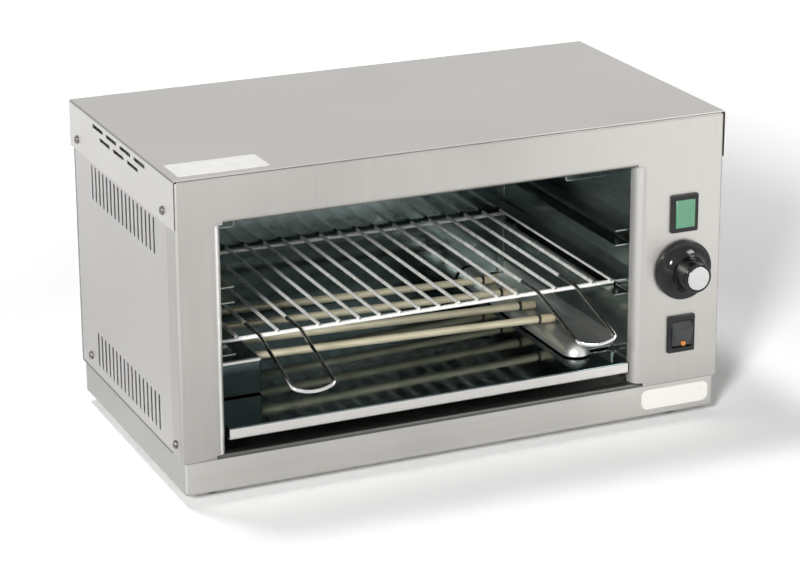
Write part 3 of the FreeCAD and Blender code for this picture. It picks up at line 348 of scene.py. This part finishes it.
# Painted shade: the end tabs get a near-black polished tone for the dark corner.
tab_painted_shade = polished_steel("tab_shade_polish", (0.06, 0.075, 0.07), (0.22, 0.34))
for name, inner_side in (("upper_left_bracket", 1), ("upper_right_bracket", -1)):
    low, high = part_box(name)
    tab_low = Vector((low.x, low.y, low.z + bracket_sheet + tab_gap))
    tab_high = Vector((high.x, low.y + bracket_sheet, high.z - tab_gap))
    if inner_side > 0:
        tab_high.x -= bracket_sheet + tab_gap
        corner_x = tab_high.x
    else:
        tab_low.x += bracket_sheet + tab_gap
        corner_x = tab_low.x
    tab = start_box(name + ".end_tab", tab_low, tab_high)
    bevel_edges(tab, tab_bend, 4,
                lambda way, middle: abs(way.y) > 0.9 and abs(middle.x - corner_x) < tab_gap
                and abs(middle.z - tab_low.z) < tab_gap)
    tab.data.materials.append(tab_painted_shade)
    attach(tab, "cabinet")

# Crumb tray and terminal cover
# Polished sheets, each with one bend that is brushed and painted bright as painted highlight: the tray's
# front lip and the front edge of the cover. The tray lies loose on the ledges of the walls.
highlight_width = 0.0026
lip_gap = 0.0012
edge_highlight_tone = (0.62, 0.61, 0.59)
tray_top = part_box("crumb_tray")[1].z
cover_front, cover_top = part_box("lower_terminal_cover")[0].y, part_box("lower_terminal_cover")[1].z


def highlight_edged_steel(name, colour, rough, edge_rough, edge_mask):
    """Polished sheet whose bent edge is brushed and painted bright as painted highlight; the mask gives
    where, by place.
    """
    finish = polished_steel(name, colour, rough)
    tree = finish.node_tree
    lines = object_noise(tree, (grain_long, grain_fine, grain_fine), 2.0)
    # Painted highlight: the masked edge gets a bright brushed tone.
    masked(tree, edge_mask(tree, place_parts(tree)),
           Base_Color=shade(tree, lines, [c * 0.9 for c in edge_highlight_tone], edge_highlight_tone),
           Roughness=ramp(tree, lines, *edge_rough))
    return finish


def tray_edge(tree, parts):
    """What lies under the tray's sheet."""
    return below(tree, parts["Z"], tray_top - lip_gap)


def cover_edge(tree, parts):
    """The bend between the top and the front of the terminal cover."""
    return both(tree, above(tree, parts["Z"], cover_top - highlight_width),
                below(tree, parts["Y"], cover_front + highlight_width))


smoothed("crumb_tray",
         highlight_edged_steel("tray_polish", (0.13, 0.165, 0.165), (0.05, 0.14), (0.3, 0.42), tray_edge), "tray")
smoothed("lower_terminal_cover",
         highlight_edged_steel("terminal_cover_polish", (0.07, 0.09, 0.09), (0.1, 0.2), (0.25, 0.35), cover_edge))

# Rivets of the guides
# Aluminium blind rivets with a low round head.
rivet_finish, tree, shader = new_finish("rivet_aluminium", 1.0)
shader.inputs["Base Color"].default_value = (0.62, 0.62, 0.61, 1.0)
dulled(tree, shader, object_noise(tree, (600.0, 600.0, 600.0)), 0.25, 0.45)
give(rivet_finish, "guide_rivets")

# Wire rack
# Bright drawn wire, cut, laid side by side and spot welded on two cross wires.
# Each handle is one bent wire in line with two of the long ones.


def plated_wire(name, colour, rough, metal):
    """Bright round wire with drawing marks and a little grease haze."""
    finish, tree, shader = new_finish(name, metal)
    haze = object_noise(tree, (60.0, 60.0, 60.0), 3.0)
    marks = object_noise(tree, (900.0, 60.0, 900.0), 2.0)
    tinted(tree, shader, haze, [c * 0.93 for c in colour], colour)
    dulled(tree, shader, haze, *rough)
    bumped(tree, shader, marks, 0.000006)
    return finish


smoothed("rack_grid", plated_wire("rack_wire", (0.92, 0.91, 0.87), (0.20, 0.34), 0.2), "rack")
handle_finish = plated_wire("handle_wire", (0.62, 0.62, 0.61), (0.10, 0.18), 1.0)
for name in ("rack_left_handle", "rack_right_handle"):
    smoothed(name, handle_finish, "rack")

# Heating rods
# Metal-sheathed heating rods, khaki from the heat, each with a brown fired-clay cap on both ends.
# A dark ring is crimped at the right end of each lower rod.
rod_finish, tree, shader = new_finish("rod_sheath", 0.2)
rod_stain = object_noise(tree, (25.0, 200.0, 200.0), 4.0, 0.6)
tinted(tree, shader, rod_stain, (0.46, 0.42, 0.29), (0.70, 0.65, 0.48))
dulled(tree, shader, rod_stain, 0.38, 0.55)
bumped(tree, shader, object_noise(tree, (1500.0, 1500.0, 1500.0)), 0.00004)
for name in ("lower_heating_rods", "upper_heating_rods"):
    smoothed(name, rod_finish)

clay_finish, tree, shader = new_finish("cap_clay")
clay_spots = object_noise(tree, (300.0, 300.0, 300.0), 4.0)
tinted(tree, shader, clay_spots, (0.34, 0.29, 0.19), (0.50, 0.44, 0.30))
shader.inputs["Roughness"].default_value = 0.45
bumped(tree, shader, clay_spots, 0.0001, 0.5)
for name in ("lower_rod_caps", "upper_rod_caps"):
    smoothed(name, clay_finish)

ring_finish, tree, shader = new_finish("ring_oxide", 0.8)
shader.inputs["Base Color"].default_value = (0.06, 0.055, 0.05, 1.0)
dulled(tree, shader, object_noise(tree, (500.0, 500.0, 500.0)), 0.4, 0.65)
smoothed("lower_rod_ferrules", ring_finish)

# Rod terminals
# Plated pins at the left ends of the rods, joined by flat strips and hidden by their covers.
# The earth stud on the casing is plated in the same way.
terminal_finish, tree, shader = new_finish("terminal_plate", 1.0)
shader.inputs["Base Color"].default_value = (0.62, 0.50, 0.30, 1.0)
dulled(tree, shader, object_noise(tree, (400.0, 400.0, 400.0)), 0.25, 0.45)
give(terminal_finish, "lower_rod_pins", "upper_rod_pins", "lower_rod_links", "upper_rod_links",
     "earth_stud")

# Indicator lamp and rocker switch
# Moulded black snap-in housings with a rim; the lamp has a green ribbed window, the switch a rocker
# with an amber window near its lower end.


def moulded(name, colour, rough, grain=0.00003, gloss=0.5):
    """Moulded plastic or rubber with a fine spark-eroded grain."""
    finish, tree, shader = new_finish(name)
    spots = object_noise(tree, (2500.0, 2500.0, 2500.0), 2.0)
    wear = object_noise(tree, (70.0, 70.0, 70.0), 3.0)
    tinted(tree, shader, wear, colour, [c * 1.25 + 0.004 for c in colour])
    dulled(tree, shader, wear, *rough)
    shader.inputs["Specular IOR Level"].default_value = gloss
    bumped(tree, shader, spots, grain)
    return finish


give(moulded("housing_black", (0.009, 0.009, 0.01), (0.28, 0.42), gloss=0.25),
     "lamp_housing", "switch_housing")
smoothed("switch_rocker", moulded("rocker_black", (0.022, 0.024, 0.025), (0.22, 0.34), gloss=0.45),
         "rocker", math.radians(25.0))

lens_finish, tree, shader = new_finish("lens_green")
lens_place = node(tree, "ShaderNodeTexCoord")
lens_ribs = node(tree, "ShaderNodeTexWave", bands_direction="X", Scale=260.0)
tree.links.new(lens_place.outputs["Object"], lens_ribs.inputs["Vector"])
tree.links.new(shade(tree, lens_ribs.outputs["Fac"], (0.045, 0.20, 0.10), (0.10, 0.30, 0.175)),
               shader.inputs["Base Color"])
shader.inputs["Roughness"].default_value = 0.22
shader.inputs["Coat Weight"].default_value = 0.5
bumped(tree, shader, lens_ribs.outputs["Fac"], 0.0002, 0.5)
smoothed("lamp_lens", lens_finish)

amber_finish, tree, shader = new_finish("window_amber")
tinted(tree, shader, object_noise(tree, (900.0, 900.0, 900.0)), (0.42, 0.12, 0.02), (0.75, 0.30, 0.06))
shader.inputs["Roughness"].default_value = 0.3
smoothed("switch_window", amber_finish, "rocker")

# Timer and knob
# Clockwork timer behind the panel; the knob is turned phenolic, glossy black, with a spun metal disc.
knob_axis = Vector((0.201, -0.1275, 0.135))
give(moulded("timer_grey", (0.10, 0.10, 0.105), (0.4, 0.55)), "timer_body")
shaft_finish, tree, shader = new_finish("shaft_steel", 1.0)
shader.inputs["Base Color"].default_value = (0.5, 0.5, 0.5, 1.0)
dulled(tree, shader, object_noise(tree, (60.0, 2000.0, 60.0)), 0.25, 0.4)
give(shaft_finish, "timer_shaft")
smoothed("timer_knob", moulded("knob_phenolic", (0.004, 0.004, 0.004), (0.06, 0.11), 0.000004, 0.3),
         "knob", math.radians(40.0))

disc_finish, tree, shader = new_finish("disc_spun", 1.0)
disc_place = node(tree, "ShaderNodeTexCoord")
disc_centre = node(tree, "ShaderNodeMapping", Location=-knob_axis)
disc_rings = node(tree, "ShaderNodeTexWave", wave_type="RINGS", rings_direction="Y", Scale=900.0)
tree.links.new(disc_place.outputs["Object"], disc_centre.inputs["Vector"])
tree.links.new(disc_centre.outputs["Vector"], disc_rings.inputs["Vector"])
shader.inputs["Base Color"].default_value = (0.45, 0.45, 0.445, 1.0)
dulled(tree, shader, disc_rings.outputs["Fac"], 0.22, 0.36)
bumped(tree, shader, disc_rings.outputs["Fac"], 0.00002)
smoothed("knob_cap", disc_finish, "knob")

# Feet and fasteners
# Moulded rubber feet held by screws and nuts; zinc-plated pan head screws hold the sheets.
smoothed("feet", moulded("foot_rubber", (0.02, 0.02, 0.02), (0.55, 0.75), 0.0001))
screw_finish, tree, shader = new_finish("screw_zinc", 1.0)
tinted(tree, shader, object_noise(tree, (350.0, 350.0, 350.0)), (0.16, 0.155, 0.145), (0.30, 0.29, 0.275))
shader.inputs["Roughness"].default_value = 0.45
for name in ("cover_screws", "side_screws", "back_screws"):
    smoothed(name, screw_finish)
give(screw_finish, "foot_screws", "timer_screws")

# Supply side
# Moulded gland, nut and terminal block, and the sleeved wires between the terminals.
give(moulded("gland_grey", (0.06, 0.06, 0.065), (0.4, 0.55)), "cable_gland", "gland_nut")
give(moulded("block_white", (0.62, 0.61, 0.58), (0.4, 0.5)), "terminal_block")
give(moulded("wire_sleeve", (0.55, 0.52, 0.44), (0.7, 0.85), 0.0002), "wiring_loom")

# Blank nameplate
# Thin lacquered plate with rounded ends, left blank, stuck on the right end of the base strip.
plate_thickness = 0.0006
plate_corner = 0.0055
plate_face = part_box("base_pan")[0].y
plate = start_box("nameplate", Vector((0.1665, plate_face - plate_thickness, 0.0153)),
                  Vector((0.2290, plate_face, 0.0323)))
bevel_edges(plate, plate_corner, 8, lambda way, middle: abs(way.y) > 0.9)
plate_finish, tree, shader = new_finish("plate_print")
shader.inputs["Base Color"].default_value = (0.78, 0.77, 0.72, 1.0)
dulled(tree, shader, object_noise(tree, (80.0, 80.0, 80.0)), 0.25, 0.4)
plate.data.materials.append(plate_finish)
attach(plate, "cabinet")

# Blank top label
# White plastic film, left blank, stuck on the front left corner of the top cover.
label_corner = 0.001
label = start_box("top_label", Vector((-0.2300, -0.1190, 0.266)), Vector((-0.1560, -0.0860, 0.2662)))
bevel_edges(label, label_corner, 3, lambda way, middle: abs(way.z) > 0.9)
label_finish, tree, shader = new_finish("label_film")
tinted(tree, shader, object_noise(tree, (60.0, 60.0, 60.0)), (0.74, 0.73, 0.70), (0.82, 0.81, 0.79))
shader.inputs["Roughness"].default_value = 0.35
label.data.materials.append(label_finish)
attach(label, "cabinet")

# Stage
# Plain pale floor, white surroundings, soft lamps and the camera of the photograph.
floor_glow_near, floor_glow_far = 0.08, 0.68
floor_dark_reach, floor_light_reach = 0.45, 1.6
sky_light, sky_seen = 0.08, 1.0


def seen_directly(tree):
    """One for rays from the camera and off glossy or clear surfaces, and zero for diffuse light."""
    path = node(tree, "ShaderNodeLightPath")
    first = node(tree, "ShaderNodeMath", operation="MAXIMUM")
    second = node(tree, "ShaderNodeMath", operation="MAXIMUM")
    tree.links.new(path.outputs["Is Camera Ray"], first.inputs[0])
    tree.links.new(path.outputs["Is Glossy Ray"], first.inputs[1])
    tree.links.new(first.outputs[0], second.inputs[0])
    tree.links.new(path.outputs["Is Transmission Ray"], second.inputs[1])
    return second.outputs[0]


bpy.ops.object.select_all(action="DESELECT")
bpy.ops.mesh.primitive_plane_add(size=12.0)
floor = bpy.context.active_object
floor.name = "floor"
floor_finish, tree, shader = new_finish("floor_white")
shader.inputs["Base Color"].default_value = (0.96, 0.96, 0.96, 1.0)
shader.inputs["Roughness"].default_value = 0.9
shader.inputs["Specular IOR Level"].default_value = 0.0
shader.inputs["Emission Color"].default_value = (1.0, 1.0, 1.0, 1.0)
floor_place = node(tree, "ShaderNodeTexCoord")
floor_reach = node(tree, "ShaderNodeVectorMath", operation="LENGTH")
tree.links.new(floor_place.outputs["Object"], floor_reach.inputs[0])
floor_glow = ramp(tree, floor_reach.outputs["Value"], floor_glow_near, floor_glow_far,
                  floor_dark_reach, floor_light_reach)
tree.links.new(both(tree, seen_directly(tree), floor_glow), shader.inputs["Emission Strength"])
floor.data.materials.append(floor_finish)

world = bpy.data.worlds.new("studio")
world.use_nodes = True
bpy.context.scene.world = world
tree = world.node_tree
sky = tree.nodes["Background"]
sky.inputs["Color"].default_value = (1.0, 1.0, 1.0, 1.0)
tree.links.new(ramp(tree, seen_directly(tree), sky_light, sky_seen, 0.0, 1.0), sky.inputs["Strength"])


def softbox(name, place, target, size, power, matt=True, glossy=True):
    """Square lamp that faces a point; it may be kept off matt surfaces or out of glossy ones."""
    lamp = bpy.data.lights.new(name, "AREA")
    lamp.size = size
    lamp.energy = power
    holder = bpy.data.objects.new(name, lamp)
    holder.visible_camera = False
    holder.visible_diffuse = matt
    holder.visible_glossy = glossy
    bpy.context.scene.collection.objects.link(holder)
    holder.location = place
    holder.rotation_euler = (Vector(target) - Vector(place)).to_track_quat("-Z", "Y").to_euler()


softbox("front_left", (-2.25, -2.90, 1.75), (0.0, 0.0, 0.12), 0.6, 168.0)
softbox("overhead", (-0.75, 0.95, 3.4), (0.0, 0.0, 0.1), 0.7, 58.0, glossy=False)
softbox("high_right", (1.24, -0.51, 1.29), (0.2, -0.13, 0.135), 0.72, 20.0, matt=False)
softbox("right_card", (0.44, -0.50, 0.12), (0.2, -0.13, 0.14), 0.3, 0.22)
softbox("floor_card", (0.37, -0.37, 0.004), (0.37, -0.37, 1.0), 0.4, 0.17, matt=False)

camera_azimuth, camera_elevation = math.radians(-24.6), math.radians(18.06)
camera_distance = 2.301
camera_target = Vector((0.0386, 0.0, 0.1503))
camera_data = bpy.data.cameras.new("camera")
camera = bpy.data.objects.new("camera", camera_data)
bpy.context.scene.collection.objects.link(camera)
back = Vector((math.sin(camera_azimuth) * math.cos(camera_elevation),
               -math.cos(camera_azimuth) * math.cos(camera_elevation), math.sin(camera_elevation)))
camera.location = camera_target + back * camera_distance
camera.rotation_euler = (-back).to_track_quat("-Z", "Y").to_euler()
camera_data.sensor_width = 36.0
camera_data.lens = 36.0 * 3.4349
camera_data.shift_x = -0.0476
camera_data.shift_y = -0.06
bpy.context.scene.camera = camera
bpy.context.scene.view_settings.view_transform = "Standard"
